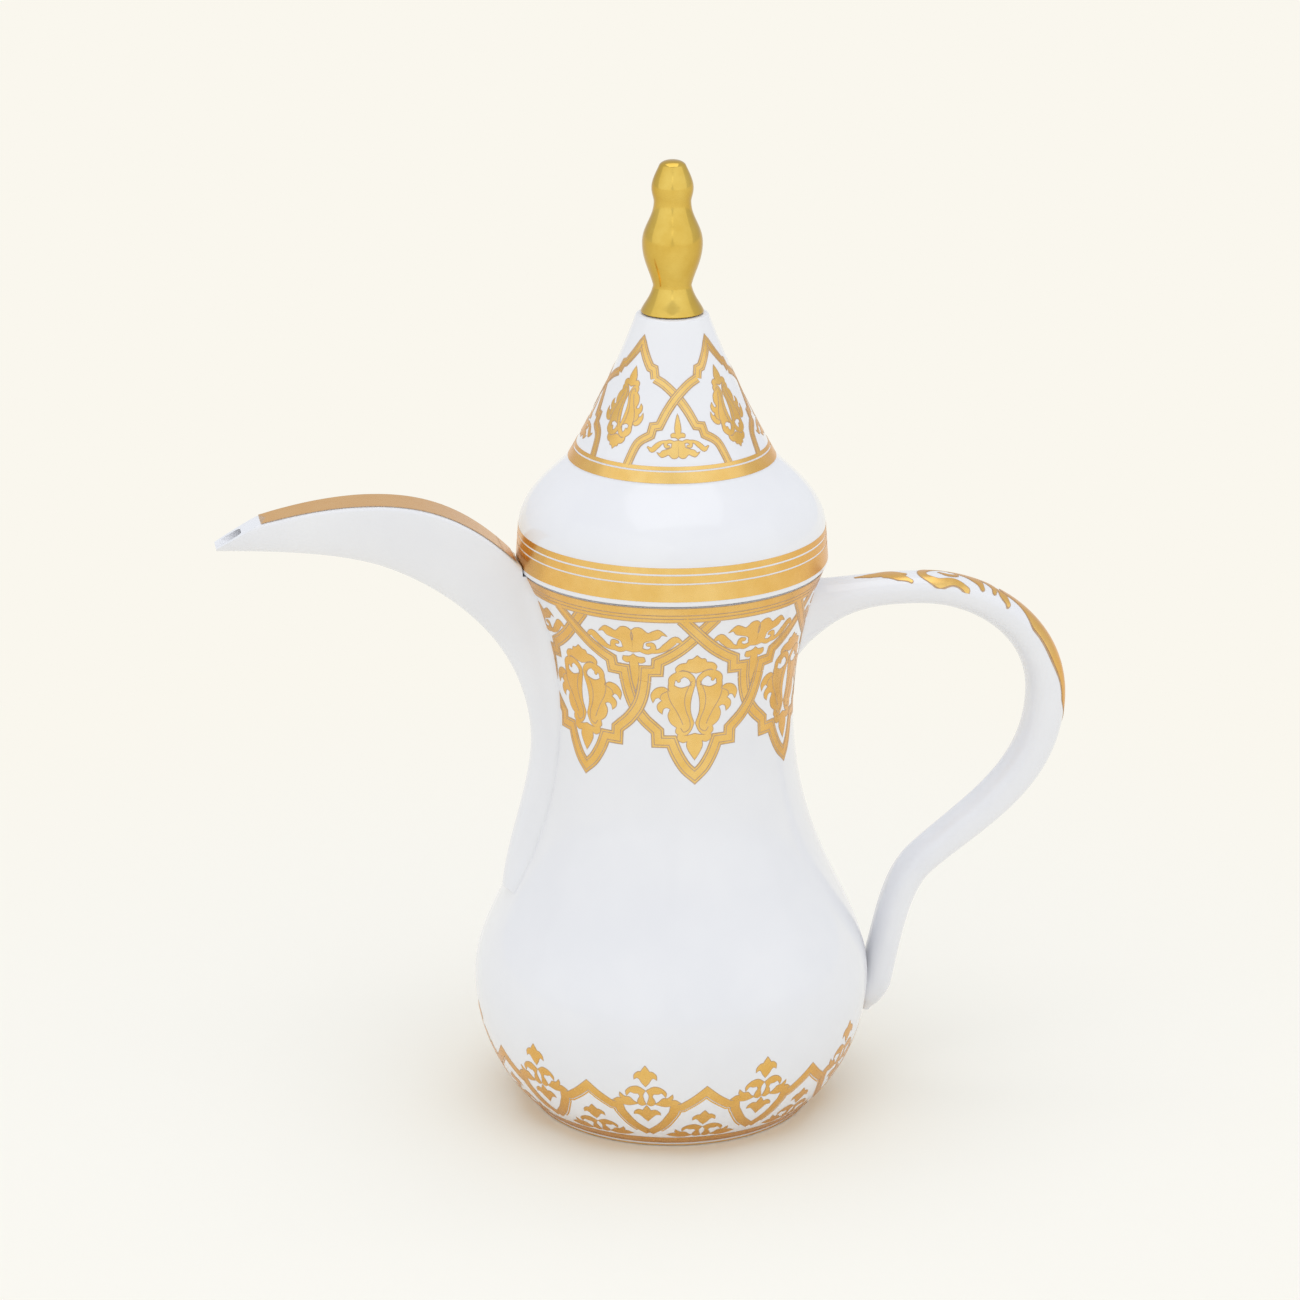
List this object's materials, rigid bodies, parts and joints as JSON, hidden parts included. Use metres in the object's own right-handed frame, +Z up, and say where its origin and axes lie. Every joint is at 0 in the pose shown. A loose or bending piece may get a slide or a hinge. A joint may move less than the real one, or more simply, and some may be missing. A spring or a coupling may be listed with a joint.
{
  "type": "coffee pot",
  "caption": "Waisted porcelain coffee pot with a long curved beak, a loop handle and a pointed lift-off lid topped by a turned metal finial.",
  "frame": {"origin": "on the table, at the bottom centre of the box round the whole pot; the pot's own axis stands 6.9 mm from it along +X", "axes": "+Z up along the pot's axis, the handle towards +X, the beak towards -X, and the decorated side seen with the beak on the left towards -Y"},
  "size_m": [0.264, 0.1236, 0.2999],
  "materials": {
    "glaze": "clear gloss glaze over white porcelain, with fired gold decoration",
    "polished_brass": "polished, gold plated",
    "steel": "plain"
  },
  "bodies": {
    "pot": {"pot_body": "glaze", "spout": "glaze", "handle": "glaze"},
    "lid": {"lid": "glaze", "finial": "polished_brass", "finial_stud": "steel", "finial_washer": "steel", "finial_nut": "steel"}
  },
  "joints": [
    {"name": "lid_lift", "type": "slide", "parent": "pot", "child": "lid", "axis": [0, 0, 1], "range_m": [0, 0.08]}
  ]
}
